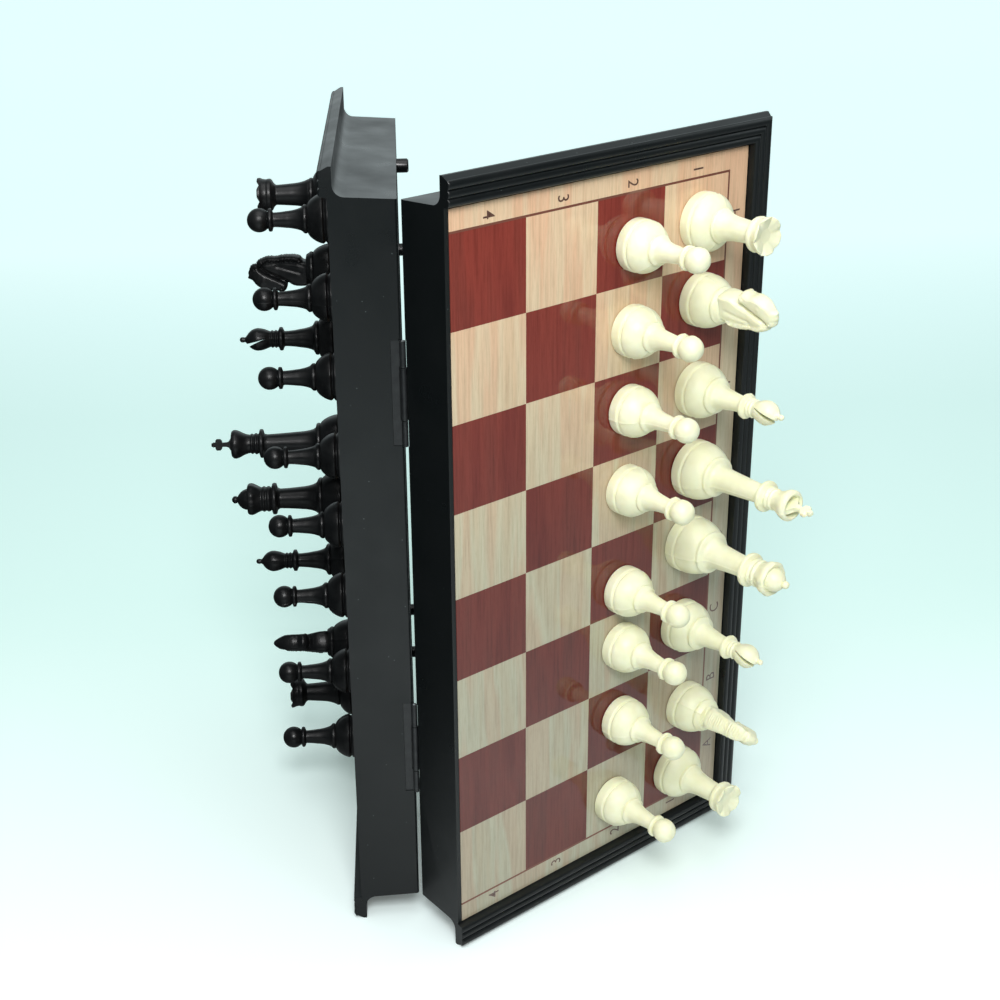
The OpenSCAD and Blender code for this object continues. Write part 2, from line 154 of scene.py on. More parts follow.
# Sizes of a half, in mm: the squares, the print's and case's borders, and the heights over the hinge
square = 35
print_start = 2.6
case_border = 20.4
outer_margin = 2
frame_rise = 3
half_width = print_start + 4 * square + case_border + outer_margin
case_len = 8 * square + 2 * case_border
frame_front = 27.9
board_top = frame_front - frame_rise

# The frame's three rounded beads: where they spring from, how far each curves to its sides, and
# each one's two distances from the outer edge with the points that close it underneath. The last
# one's inner wall runs down past the print.
bead_height = 0.6
bead_low = frame_front - bead_height
bead_root = bead_low - 0.4
bead_reach = math.radians(60)
bead_steps = 12
wall_foot = board_top - 0.2
bead_shapes = [
    (1.35, 4.65, [(4.65, bead_root)]),
    (4.65, 7.6, [(7.6, bead_root)]),
    (7.6, 10.55, [(10.95, wall_foot), (7.6, wall_foot)]),
]
# Along a bead from the hinge: distance from the hinge, and the share of its full height
bead_ends = [(0.3, 0.35), (0.5, 0.75), (0.95, 1), (half_width, 1)]


def add_bead(bm, side, start, stop, closing):
    """One rounded bead round the three framed sides, along the foot, up, and back along the top"""
    radius = (stop - start) / 2 / math.sin(bead_reach)
    profile = [(start, bead_root)]
    for i in range(bead_steps + 1):
        angle = bead_reach * (2 * i / bead_steps - 1)
        out = bead_low + radius * (math.cos(angle) - math.cos(bead_reach))
        profile.append(((start + stop) / 2 + radius * math.sin(angle), out))
    profile += closing
    rings = []
    for at_top, stretch in ((False, bead_ends), (True, bead_ends[::-1])):
        for away, rise in stretch:
            ring = []
            for edge, out in profile:
                risen = min(out, bead_low) + max(out - bead_low, 0) * rise
                up = case_len - edge if at_top else edge
                ring.append(bm.verts.new(on_half(side, risen, min(away, half_width - edge), up)))
            rings.append(ring)
    count = len(profile)
    for low, high in zip(rings, rings[1:]):
        for i in range(count):
            bm.faces.new((low[i], low[(i + 1) % count], high[(i + 1) % count], high[i]))
    bm.faces.new(rings[0])
    bm.faces.new(rings[-1])


mould_radius = 0.3
sharp_corner = 35
weld = 0.001 * MM
for side in ("white", "black"):
    bm = bmesh.new()
    bm.from_mesh(frame["nodes"][side + "_half_case"].data)
    bmesh.ops.remove_doubles(bm, verts=bm.verts, dist=weld)
    # The frame's flat lands go down to where the beads spring from
    for vert in bm.verts:
        out = (vert.co - Vector((0, hinge_y, 0))).dot(out_of_board[side]) / MM
        if out > bead_low:
            vert.co -= out_of_board[side] * ((out - bead_low) * MM)
    bmesh.ops.remove_doubles(bm, verts=bm.verts, dist=weld)
    bmesh.ops.dissolve_degenerate(bm, edges=bm.edges, dist=weld)
    shell = bmesh.new()
    for start, stop, closing in bead_shapes:
        add_bead(shell, side, start, stop, closing)
    bmesh.ops.recalc_face_normals(shell, faces=shell.faces)
    bmesh.ops.dissolve_limit(bm, angle_limit=math.radians(0.6), verts=bm.verts, edges=bm.edges)
    case = mesh_piece(side + "_half_case_moulding", bm, case_plastic, side + "_side", sharp_corner)
    beads = mesh_piece(side + "_half_frame_beads", shell, case_plastic, side + "_side", 50)
    rounding = case.modifiers.new("mould radius", "BEVEL")
    rounding.width = mould_radius * MM
    rounding.segments = 2
    rounding.limit_method = "ANGLE"
    rounding.angle_limit = math.radians(sharp_corner)
    rounding.harden_normals = True
    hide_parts(side + "_half_case")


# ------------------------------------------------------------------ The steel sheets
# A plain steel sheet lies in the bed of each half, under the printed board, for the magnets in
# the men to hold to. It is bare, cold-rolled and flat.
bare_steel, tree, shader, here = finish_material("bare_sheet_steel")
rolled = add(tree, "ShaderNodeMapping", {"Vector": here, "Scale": (900, 900, 40)}).outputs[0]
streaks = noise(tree, rolled, 1, 3)
plug(tree, shader, {
    "Base Color": ramp(tree, streaks, [(0.3, (0.42, 0.43, 0.45)), (0.7, (0.56, 0.57, 0.58))]),
    "Metallic": 1,
    "Roughness": 0.38,
})
for side in ("white", "black"):
    sheet = frame["nodes"][side + "_half_steel_sheet"]
    sheet.data.materials.clear()
    sheet.data.materials.append(bare_steel)


# ------------------------------------------------------------------ The printed boards
# Each board is a paper print of wood squares under a clear gloss film, glued into the bed.
# A thin line runs round the squares, and the margin has the ranks' numbers and the files' letters.
number_inset = 3.9
letter_inset = 5.3
border_line = 0.9


def maths(tree, operation, *values):
    """The result of a maths node on values or sockets"""
    return add(tree, "ShaderNodeMath", dict(enumerate(values)), operation=operation).outputs[0]


def mix(tree, factor, a, b, blend="MIX"):
    """The colour of a mix of colours or sockets"""
    inputs = {"Factor": factor, "A": a, "B": b}
    return add(tree, "ShaderNodeMix", inputs, data_type="RGBA", blend_type=blend).outputs["Result"]


def along_direction(tree, where, direction):
    """How far a place lies along a direction"""
    made = add(tree, "ShaderNodeVectorMath", {0: where, 1: direction}, operation="DOT_PRODUCT")
    return made.outputs["Value"]


def board_material(side):
    """The print in a half's own directions: away from the hinge, and up along the files"""
    material, tree, shader, here = finish_material(side + "_half_wood_print")
    calc = partial(maths, tree)
    away = along_direction(tree, here, away_from_hinge[side])
    start = hinge_y * away_from_hinge[side].y + print_start * MM
    up = add(tree, "ShaderNodeSeparateXYZ", {0: here}).outputs["Z"]
    rank = calc("DIVIDE", calc("SUBTRACT", away, start), square * MM)
    file = calc("DIVIDE", calc("SUBTRACT", up, case_border * MM), square * MM)
    flat = add(tree, "ShaderNodeCombineXYZ", {"X": rank, "Y": file}).outputs[0]

    # Planks: broad streaks along the files, a finer grain, and pores
    def streaky(scale, seed, detail, rough=0.5, warp=0.0):
        inputs = {"Vector": flat, "Location": (seed, seed * 0.7, 0), "Scale": scale}
        stretched = add(tree, "ShaderNodeMapping", inputs).outputs[0]
        inputs = {"Vector": stretched, "Scale": 1, "Detail": detail, "Roughness": rough, "Distortion": warp}
        return add(tree, "ShaderNodeTexNoise", inputs).outputs["Fac"]

    broad = streaky((3.2, 0.28, 1), 3.1, 2, 0.55, 0.3)
    fine = streaky((34, 1.3, 1), 7.7, 5, 0.62)
    pores = streaky((120, 9, 1), 1.9, 2, 0.55)
    light_wood = ramp(tree, broad, [(0.3, (0.73, 0.61, 0.41)), (0.46, (0.77, 0.72, 0.51)),
                                    (0.56, (0.76, 0.60, 0.41)), (0.72, (0.80, 0.68, 0.47))])
    dark_wood = ramp(tree, broad, [(0.3, (0.19, 0.034, 0.026)), (0.5, (0.25, 0.050, 0.036)),
                                   (0.7, (0.20, 0.046, 0.034))])
    vein = ramp(tree, fine, [(0.32, (0.74, 0.72, 0.70)), (0.55, (1, 1, 1)), (0.8, (1.0, 0.98, 0.95))])
    fleck = ramp(tree, pores, [(0.3, (0.84, 0.82, 0.80)), (0.48, (1, 1, 1))])
    # Painted light and shade: the planks are darkened towards file a as painted shade, and made paler and
    # pinker towards file h as painted light
    towards_h = between(tree, file, 0, 8, 0, 1)
    painted_light_tint = ramp(tree, towards_h, [(0.3, (0.56, 0.58, 0.61)), (0.55, (0.68, 0.68, 0.69)),
                                  (0.75, (0.84, 0.74, 0.71)), (1, (1.0, 0.79, 0.73))])
    # The grain, the pores and the painted light and shade are multiplied into both woods
    for layer, in_light, in_dark in ((vein, 0.7, 1.0), (fleck, 0.5, 0.8), (painted_light_tint, 1.0, 1.0)):
        light_wood = mix(tree, in_light, light_wood, layer, "MULTIPLY")
        dark_wood = mix(tree, in_dark, dark_wood, layer, "MULTIPLY")

    # The squares, dark on alternate ones
    parity = calc("MODULO", calc("ADD", calc("FLOOR", rank), calc("FLOOR", file)), 2)
    if side == "black":
        parity = calc("SUBTRACT", 1, parity)
    in_files = calc("MULTIPLY", calc("GREATER_THAN", file, 0), calc("LESS_THAN", file, 8))
    inside = calc("MULTIPLY", calc("LESS_THAN", rank, 4), in_files)
    wood = mix(tree, calc("MULTIPLY", parity, inside), light_wood, dark_wood)

    # The border line, just outside the squares and not along the hinge
    past_files = calc("MAXIMUM", calc("SUBTRACT", file, 8), calc("MULTIPLY", file, -1))
    reach = calc("MAXIMUM", calc("SUBTRACT", rank, 4), past_files)
    border = calc("MULTIPLY", calc("GREATER_THAN", reach, 0), calc("LESS_THAN", reach, border_line / square))
    ripple = add(tree, "ShaderNodeBump", {"Height": noise(tree, here, 60, 1), "Strength": 0.25,
                                          "Distance": 0.00006})
    plug(tree, shader, {
        "Base Color": mix(tree, border, wood, (0.17, 0.06, 0.04, 1)),
        "Roughness": 0.5,
        "Specular IOR Level": 0,
        "Coat Weight": 1.0,
        "Coat Roughness": 0.045,
        "Coat IOR": 1.5,
        "Coat Normal": ripple.outputs[0],
    })
    return material


ink, tree, shader, here = finish_material("brown_print_ink")
mottle = noise(tree, here, 900, 1)
plug(tree, shader, {
    "Base Color": ramp(tree, mottle, [(0.35, (0.09, 0.04, 0.028)), (0.65, (0.13, 0.06, 0.04))]),
    "Roughness": 0.25,
    "Coat Weight": 1.0,
    "Coat Roughness": 0.05,
})
sign_size = 7.7
sign_narrowing = 0.86
ink_spread = 0.02
ink_lift = 0.015


def printed_sign(side, text, away, up, towards_hinge):
    """One character in the margin, 5.5 mm tall, its top towards the hinge or away from it"""
    curve = bpy.data.curves.new("sign", "FONT")
    curve.body = text
    curve.size = sign_size * MM
    curve.align_x = "CENTER"
    curve.align_y = "CENTER"
    curve.resolution_u = 4
    curve.offset = ink_spread * MM
    sign = bpy.data.objects.new("sign", curve)
    scene.collection.objects.link(sign)
    bpy.context.view_layer.update()
    mesh = bpy.data.meshes.new_from_object(sign.evaluated_get(bpy.context.evaluated_depsgraph_get()))
    bpy.data.objects.remove(sign)
    top = away_from_hinge[side] * (-1 if towards_hinge else 1)
    normal = out_of_board[side]
    right = top.cross(normal)
    place = Matrix.Identity(4)
    for row in range(3):
        place[row][0], place[row][1], place[row][2] = right[row] * sign_narrowing, top[row], normal[row]
    place.translation = on_half(side, board_top + ink_lift, away, up)
    mesh.transform(place)
    return mesh


for side in ("white", "black"):
    board = frame["nodes"][side + "_half_board_print"]
    board.data.materials.clear()
    board.data.materials.append(board_material(side))
    bm = bmesh.new()
    for rank in range(4):
        number = str(4 - rank if side == "white" else 5 + rank)
        away = print_start + (rank + 0.5) * square
        black_reads = side == "black"
        bm.from_mesh(printed_sign(side, number, away, 8 * square + case_border + number_inset, black_reads))
        bm.from_mesh(printed_sign(side, number, away, case_border - number_inset, not black_reads))
    for file in range(8):
        up = case_border + (file + 0.5) * square
        away = print_start + 4 * square + letter_inset
        bm.from_mesh(printed_sign(side, "ABCDEFGH"[file], away, up, True))
    signs = mesh_piece(side + "_half_coordinates", bm, ink, side + "_side")


# ------------------------------------------------------------------ The hinges
# Two small steel leaf hinges join the halves. The black half's leaves lie in open notches in
# its wall, the white half's are let into slots, and both are painted black.
leaf_paint, tree, shader, here = finish_material("black_hinge_paint")
worn = ramp(tree, noise(tree, here, 300, 3), [(0.35, (0.007, 0.008, 0.009)), (0.7, (0.014, 0.016, 0.017))])
plug(tree, shader, {"Base Color": worn, "Roughness": 0.4})
pin_wire, tree, shader, here = finish_material("bright_pin_wire")
drawn = ramp(tree, noise(tree, here, 2000, 1), [(0.3, (0.5, 0.5, 0.52)), (0.7, (0.65, 0.65, 0.66))])
plug(tree, shader, {"Base Color": drawn, "Metallic": 1, "Roughness": 0.3})
for place in ("lower", "upper"):
    for part, finish in (("pin", pin_wire), ("black_leaf", leaf_paint), ("white_leaf", leaf_paint)):
        node = frame["nodes"][f"{place}_hinge_{part}"]
        node.data.materials.clear()
        node.data.materials.append(finish)


# ------------------------------------------------------------------ The turned men
# Every man but the knight's head is a turned shape, injection-moulded in two halves, so a fine
# parting ridge runs up two sides. A disc magnet sits in a pocket in the foot.
ivory, tree, shader, here = finish_material("ivory_plastic")
cloudy = noise(tree, here, 160, 3)
plug(tree, shader, {
    "Base Color": ramp(tree, cloudy, [(0.35, (0.81, 0.80, 0.55)), (0.65, (0.87, 0.87, 0.63))]),
    "Roughness": between(tree, cloudy, 0.3, 0.7, 0.36, 0.5),
    "Subsurface Weight": 0.25,
    "Subsurface Scale": 0.0015,
    "Subsurface Radius": (1.0, 0.8, 0.4),
})

# The magnet and its pocket, in mm
magnet_radius = 5
magnet_low = 0.3
magnet_top = 3.3
pocket_gap = 0.1


def eased(corners, radius, steps=3):
    """A profile of (radius, height) in mm with its corners rounded, where there is room"""
    points = [corners[0]]
    for before, corner, after in zip(corners, corners[1:], corners[2:]):
        before, corner, after = Vector(before), Vector(corner), Vector(after)
        back, on = before - corner, after - corner
        cut = min(radius, 0.45 * back.length, 0.45 * on.length)
        start, end = corner + back.normalized() * cut, corner + on.normalized() * cut
        for i in range(steps + 1):
            t = i / steps
            points.append(tuple(start * (1 - t) ** 2 + corner * 2 * t * (1 - t) + end * t * t))
    points.append(corners[-1])
    return points


def bow(start, pull, end, steps=8):
    """A curved stretch of profile from start to end, drawn towards pull"""
    made = []
    for i in range(1, steps + 1):
        t = i / steps
        pairs = zip(start, pull, end)
        made.append(tuple(a * (1 - t) ** 2 + b * 2 * t * (1 - t) + c * t * t for a, b, c in pairs))
    return made


def round_part(height, radius, start, end, steps=14):
    """Part of a ball on the axis, from one angle to another, counted from the horizon"""
    made = []
    for i in range(steps + 1):
        angle = math.radians(start + (end - start) * i / steps)
        made.append((radius * math.cos(angle), height + radius * math.sin(angle)))
    return made


def foot(base, ring, ring_height):
    """The moulded foot: magnet pocket, band, groove, dome and upper ring"""
    pocket = magnet_radius + pocket_gap
    pocket_top = magnet_top + pocket_gap
    dome_fullness = 1.333
    dome_steps = 12
    corners = [(0, pocket_top), (pocket, pocket_top), (pocket, 0.1), (5.6, 0)]
    corners += [(base - 0.6, 0), (base - 0.05, 0.5), (base, 4.0), (base - 0.25, 4.55)]
    corners += [(base - 0.85, 4.8), (base - 0.95, 5.1), (base - 0.55, 5.5)]
    for i in range(dome_steps + 1):
        angle = math.radians(90 * i / dome_steps)
        out = ring - 0.35 + (base + 0.2 - ring) * math.cos(angle) ** dome_fullness
        corners.append((out, 5.9 + (ring_height - 6.1) * math.sin(angle) ** dome_fullness))
    corners += [(ring, ring_height + 0.15), (ring, ring_height + 1.1), (ring - 0.5, ring_height + 1.6)]
    return corners


def collar(radius, height, thick, depth):
    """A turned collar that stands proud of the stem"""
    root, shoulder = thick / 2, thick * 0.28
    return [(radius - depth, height - root), (radius - 0.15, height - shoulder), (radius, height),
            (radius - 0.15, height + shoulder), (radius - depth, height + root)]


def turning_tree():
    """Geometry Nodes that spin a profile, with parting ridges, flutes and notches"""
    tree = bpy.data.node_groups.new("turned_man", "GeometryNodeTree")
    sockets = {
        "Profile": "Geometry", "Segments": "Int", "Ridge": "Float", "Ridge Width": "Float",
        "Flutes": "Float", "Flute Depth": "Float", "Flutes From": "Float", "Flutes To": "Float",
        "Notches": "Float", "Notch Share": "Float", "Notch Floor": "Float", "Material": "Material",
    }
    for name, kind in sockets.items():
        tree.interface.new_socket(name=name, in_out="INPUT", socket_type="NodeSocket" + kind)
    tree.interface.new_socket(name="Turned", in_out="OUTPUT", socket_type="NodeSocketGeometry")
    given = add(tree, "NodeGroupInput").outputs
    calc = partial(maths, tree)

    # A flat grid has a column for each station round the axis and a row for each profile point
    profile = {"Geometry": given["Profile"]}
    size = add(tree, "GeometryNodeAttributeDomainSize", profile, component="MESH")
    count = size.outputs["Point Count"]
    last = calc("SUBTRACT", count, 1)
    stations = calc("ADD", given["Segments"], 1)
    grid = add(tree, "GeometryNodeMeshGrid", {
        "Size X": given["Segments"], "Size Y": last, "Vertices X": stations, "Vertices Y": count,
    })
    position = add(tree, "GeometryNodeInputPosition").outputs[0]
    place = add(tree, "ShaderNodeSeparateXYZ", {0: position})
    station = calc("ROUND", calc("ADD", place.outputs["X"], calc("MULTIPLY", given["Segments"], 0.5)))
    along = calc("ROUND", calc("ADD", place.outputs["Y"], calc("MULTIPLY", last, 0.5)))
    picked = {"Geometry": given["Profile"], "Value": position, "Index": along}
    sample = add(tree, "GeometryNodeSampleIndex", picked, data_type="FLOAT_VECTOR")
    point = add(tree, "ShaderNodeSeparateXYZ", {0: sample.outputs[0]})
    radius, height = point.outputs["X"], point.outputs["Z"]

    # Half a turn at a time, with the stations beside each parting ridge drawn in close to it
    half = calc("MULTIPLY", given["Segments"], 0.5)
    step = calc("MODULO", station, half)
    first = calc("COMPARE", step, 1, 0.1)
    final = calc("COMPARE", step, calc("SUBTRACT", half, 1), 0.1)
    plain = calc("DIVIDE", step, half)
    near = calc("MULTIPLY", first, calc("SUBTRACT", given["Ridge Width"], plain))
    back = calc("MULTIPLY", final, calc("SUBTRACT", calc("SUBTRACT", 1, given["Ridge Width"]), plain))
    share = calc("ADD", plain, calc("ADD", near, back))
    angle = calc("MULTIPLY", calc("ADD", share, calc("FLOOR", calc("DIVIDE", station, half))), math.pi)
    ridge_from = 1.2 * MM
    on_ridge = calc("MULTIPLY", calc("COMPARE", step, 0, 0.1), calc("GREATER_THAN", radius, ridge_from))
    radius = calc("ADD", radius, calc("MULTIPLY", on_ridge, given["Ridge"]))

    # Flutes swell and fall over a stretch of height
    middle = calc("MULTIPLY", calc("ADD", given["Flutes From"], given["Flutes To"]), 0.5)
    reach = calc("MULTIPLY", calc("SUBTRACT", given["Flutes To"], given["Flutes From"]), 0.5)
    off = calc("DIVIDE", calc("ABSOLUTE", calc("SUBTRACT", height, middle)), calc("MAXIMUM", reach, 0.00001))
    weight = calc("MAXIMUM", calc("SUBTRACT", 1, calc("MULTIPLY", off, off)), 0)
    wave = calc("COSINE", calc("MULTIPLY", angle, given["Flutes"]))
    radius = calc("ADD", radius, calc("MULTIPLY", calc("MULTIPLY", wave, weight), given["Flute Depth"]))

    # V-shaped notches cut the top down to their floor
    turn = calc("MULTIPLY", angle, calc("DIVIDE", given["Notches"], 2 * math.pi))
    from_middle = calc("ABSOLUTE", calc("SUBTRACT", calc("FRACT", calc("ADD", turn, 0.5)), 0.5))
    off_notch = calc("DIVIDE", from_middle, calc("MULTIPLY", given["Notch Share"], 0.5))
    in_notch = calc("MAXIMUM", calc("SUBTRACT", 1, off_notch), 0)
    drop = calc("MAXIMUM", calc("SUBTRACT", height, given["Notch Floor"]), 0)
    notched = calc("GREATER_THAN", given["Notches"], 0.5)
    height = calc("SUBTRACT", height, calc("MULTIPLY", calc("MULTIPLY", drop, in_notch), notched))

    spun = add(tree, "ShaderNodeCombineXYZ", {
        "X": calc("MULTIPLY", radius, calc("COSINE", angle)),
        "Y": calc("MULTIPLY", radius, calc("SINE", angle)),
        "Z": height,
    }).outputs[0]
    placed = add(tree, "GeometryNodeSetPosition", {"Geometry": grid.outputs["Mesh"], "Position": spun})
    together = {"Geometry": placed.outputs[0], "Distance": 0.004 * MM}
    closed = add(tree, "GeometryNodeMergeByDistance", together)
    real = add(tree, "GeometryNodeRealizeInstances", {"Geometry": closed.outputs[0]})
    painted = {"Geometry": real.outputs[0], "Material": given["Material"]}
    finished = add(tree, "GeometryNodeSetMaterial", painted)
    add(tree, "NodeGroupOutput", {"Turned": finished.outputs[0]})
    return tree


turning = turning_tree()
# Faces round each man, and the share of half a turn that a side of a parting ridge takes
segments = 96
ridge_width = 0.008


def turned(profile, material, ridge=0.14, flutes=(0, 0, 0, 0), notches=(0, 1, 0)):
    """A bmesh of a profile in mm, spun by the node tree; it stands on the origin, in metres"""
    mesh = bpy.data.meshes.new("profile")
    edges = [(i, i + 1) for i in range(len(profile) - 1)]
    mesh.from_pydata([(r * MM, 0, z * MM) for r, z in profile], edges, [])
    blank = bpy.data.objects.new("profile", mesh)
    scene.collection.objects.link(blank)
    spin = blank.modifiers.new("spin", "NODES")
    spin.node_group = turning
    values = {
        "Segments": segments, "Ridge": ridge * MM, "Ridge Width": ridge_width,
        "Flutes": flutes[0], "Flute Depth": flutes[1] * MM,
        "Flutes From": flutes[2] * MM, "Flutes To": flutes[3] * MM,
        "Notches": notches[0], "Notch Share": notches[1], "Notch Floor": notches[2] * MM,
        "Material": material,
    }
    for socket in turning.interface.items_tree:
        if socket.in_out == "INPUT" and socket.name in values:
            value = values[socket.name]
            if socket.name != "Material":
                value = type(socket.default_value)(value)
            spin[socket.identifier] = value
    result = bpy.data.meshes.new_from_object(blank.evaluated_get(bpy.context.evaluated_depsgraph_get()))
    bpy.data.objects.remove(blank)
    bm = bmesh.new()
    bm.from_mesh(result)
    bmesh.ops.recalc_face_normals(bm, faces=bm.faces)
    return bm


def outline_plate(outline, thickness, edge=0.0):
    """A plate in mm, drawn as [(across, up)], standing in the x-z plane, with eased edges"""
    bm = bmesh.new()
    half = thickness / 2
    levels = [(-half, 0), (half, 0)]
    if edge:
        levels = [(-half, edge), (edge - half, 0), (half - edge, 0), (half, edge)]
    count = len(outline)
    centre = Vector((sum(p[0] for p in outline) / count, sum(p[1] for p in outline) / count))
    rings = []
    for level, shrink in levels:
        ring = []
        for x, z in outline:
            away = Vector((x, z)) - centre
            if shrink:
                away -= away.normalized() * shrink
            ring.append(bm.verts.new((MM * (centre.x + away.x), MM * level, MM * (centre.y + away.y))))
        rings.append(ring)
    for low, high in zip(rings, rings[1:]):
        for i in range(count):
            bm.faces.new((low[i], low[(i + 1) % count], high[(i + 1) % count], high[i]))
    bm.faces.new(rings[0])
    bm.faces.new(rings[-1])
    bmesh.ops.recalc_face_normals(bm, faces=bm.faces)
    return bm


def joined(*parts):
    """Several bmeshes as one"""
    whole = bmesh.new()
    for part in parts:
        mesh = bpy.data.meshes.new("part")
        part.to_mesh(mesh)
        part.free()
        whole.from_mesh(mesh)
        bpy.data.meshes.remove(mesh)
    return whole


def cut_by(bm, cutter, material):
    """A bmesh less a cutter, by the exact boolean"""
    pair = []
    for part in (bm, cutter):
        mesh = bpy.data.meshes.new("cut")
        part.to_mesh(mesh)
        part.free()
        mesh.materials.append(material)
        obj = bpy.data.objects.new("cut", mesh)
        scene.collection.objects.link(obj)
        pair.append(obj)
    cut = pair[0].modifiers.new("cut", "BOOLEAN")
    cut.operation = "DIFFERENCE"
    cut.solver = "EXACT"
    cut.object = pair[1]
    result = bpy.data.meshes.new_from_object(pair[0].evaluated_get(bpy.context.evaluated_depsgraph_get()))
    for obj in pair:
        bpy.data.objects.remove(obj)
    bm = bmesh.new()
    bm.from_mesh(result)
    return bm


def pawn():
    """A slim flared stem, a collar and a ball"""
    corners = foot(10.3, 5.85, 12.5) + [(4.75, 14.7)]
    corners += bow((4.75, 14.7), (3.65, 17.3), (3.4, 20.8))
    corners += bow((3.4, 20.8), (3.05, 23.4), (2.95, 25.9), 4)
    corners += collar(4.75, 27.35, 2.3, 1.7) + [(3.75, 28.7)] + round_part(32.0, 4.9, -46, 90)
    return turned(eased(corners, 0.22), ivory)


def rook():
    """A waisted tower whose parapet has six notches round a dished top"""
    corners = foot(11.6, 6.7, 11.4) + [(6.2, 13.3), (6.0, 13.6)]
    corners += bow((5.9, 13.9), (4.7, 16.4), (4.5, 21))
    corners += bow((4.5, 21), (4.2, 24.4), (4.1, 27), 6)
    corners += bow((4.1, 27), (4.7, 28), (6.2, 28.6), 5)
    corners += [(6.8, 29.3), (6.8, 30.5), (6.55, 31.1)]
    corners += bow((6.55, 31.1), (6.7, 32.8), (7.3, 33.7), 5)
    corners += [(7.35, 34.8), (6.9, 34.9), (5.6, 34.3), (2.8, 33.3), (0, 33)]
    return turned(eased(corners, 0.2), ivory, notches=(6, 0.55, 33.8))


def bishop():
    """Three collars, and a mitre with a knob, cut by a sloping slit"""
    corners = foot(11.3, 7.4, 12.3) + [(5.5, 14.6)]
    corners += bow((5.3, 14.8), (4.3, 16.9), (3.95, 20.2))
    corners += bow((3.95, 20.2), (3.3, 23.4), (3.2, 27.1), 5)
    corners += collar(5.1, 28.75, 2.6, 1.6) + collar(3.85, 31.1, 1.3, 0.45) + collar(3.8, 32.7, 1.3, 0.45)
    corners += [(3.4, 33.7)] + bow((3.45, 34.1), (4.6, 36), (4.85, 38.9), 6)
    corners += bow((4.85, 38.9), (4.9, 41.3), (2.7, 43.3), 6)
    corners += bow((2.7, 43.3), (1.5, 44), (1.05, 44.7), 4)
    corners += [(1.2, 46)] + bow((1.2, 46), (1.15, 47.1), (0, 47.2), 4)
    body = turned(eased(corners, 0.2), ivory)
    slit = outline_plate([(-0.5, 35.2), (-0.2, 35), (3.1, 42.9), (9, 44.3), (9, 47.9), (1.9, 44.3)], 14)
    return cut_by(body, slit, ivory)


def queen():
    """Three collars under a fluted coronet, and a domed cap and a ball above it"""
    corners = foot(12.3, 9.1, 14.5) + [(7.0, 16.9)]
    corners += bow((6.7, 17.2), (5.4, 19.4), (5.1, 24))
    corners += bow((5.1, 24), (4.6, 29), (4.45, 33.9), 6)
    corners += collar(7.25, 36.5, 3.0, 2.2) + collar(5.85, 39.2, 1.8, 0.45) + collar(5.85, 41.4, 1.6, 0.45)
    corners += [(5.35, 42.6)] + bow((5.4, 42.7), (6.3, 44.7), (7.0, 46.1), 6)
    corners += [(7.25, 47.1), (7.15, 48.2), (6.6, 48.9), (5.5, 48.7), (4.9, 48.3)]
    corners += bow((4.8, 48.6), (4.7, 51.4), (2.4, 53), 8) + [(1.5, 53.6)]
    corners += round_part(54.7, 1.6, -46, 90, 8)
    return turned(eased(corners, 0.2), ivory, flutes=(9, 0.18, 43.2, 50.2))


def king():
    """Three collars under a flared cup, and a flat-sided cross on a sloping web"""
    corners = foot(12.3, 8.5, 13.9) + [(6.4, 16)]
    corners += bow((6.1, 16.3), (5.0, 18.2), (4.75, 24))
    corners += bow((4.75, 24), (4.2, 32), (4.0, 38), 6)
    corners += collar(6.5, 40.6, 2.7, 2.2) + collar(4.75, 43.1, 1.6, 0.5) + collar(4.55, 45.0, 1.5, 0.5)
    corners += [(4.1, 46.1)] + bow((4.1, 46.2), (4.3, 47.8), (5.4, 49.8), 5)
    corners += bow((5.4, 49.8), (6.3, 51.3), (6.45, 52.6), 4)
    corners += [(6.3, 53.5), (5.6, 54.3), (4.9, 54.4)] + bow((4.7, 54.1), (4.1, 51), (0, 50.4), 7)
    body = turned(eased(corners, 0.2), ivory)
    half_cross = [(4.6, 51), (4.6, 53.2), (3.3, 54.3), (1.6, 55.2), (1.05, 56.6), (0.95, 58.7), (2.1, 59.0),
                  (2.6, 59.5), (2.6, 61.1), (2.1, 61.6), (1.0, 61.8), (1.15, 62.6), (0.7, 63.5)]
    web = outline_plate(half_cross + [(-x, z) for x, z in reversed(half_cross)], 2.2, edge=0.45)
    return joined(body, web)


# ------------------------------------------------------------------ The knights' heads
# A horse's head and neck, moulded flat-sided on the same foot, with a combed mane down the back,
# a cut between jaw and neck, eyes, nostrils and mouth.
horse_outline = [
    (6.4, 14.6), (7.0, 16.4), (7.0, 19.9), (6.4, 22.4), (5.4, 23.9), (6.2, 24.3), (7.5, 24.6), (9.0, 25.5),
    (9.7, 27.1), (9.1, 28.6), (8.6, 30), (8.8, 32.6), (7.7, 36), (6.4, 37.9), (5.1, 39), (4.1, 39.8),
    (3.3, 41.5), (2.1, 41.2), (0.8, 41.3), (-1.0, 40.5), (-2.6, 39.4), (-2.9, 37.6), (-4.2, 36.9),
    (-5.2, 35.1), (-5.9, 33.1), (-6.1, 30.5), (-5.9, 29.3), (-6.3, 26.8), (-6.5, 24.8), (-6.5, 22.4),
    (-6.1, 19.4), (-5.2, 17.9), (-4.3, 16.9), (-4.1, 14.6),
]
# The mane runs down these corners of the outline, in locks of one length
mane_start = 19
mane_end = 31
lock_length = 1.15
lock_depth = 0.38
mane_width = 3.2
edge_spacing = 0.32
inner_spacing = 0.4
edge_rounding = 1.5


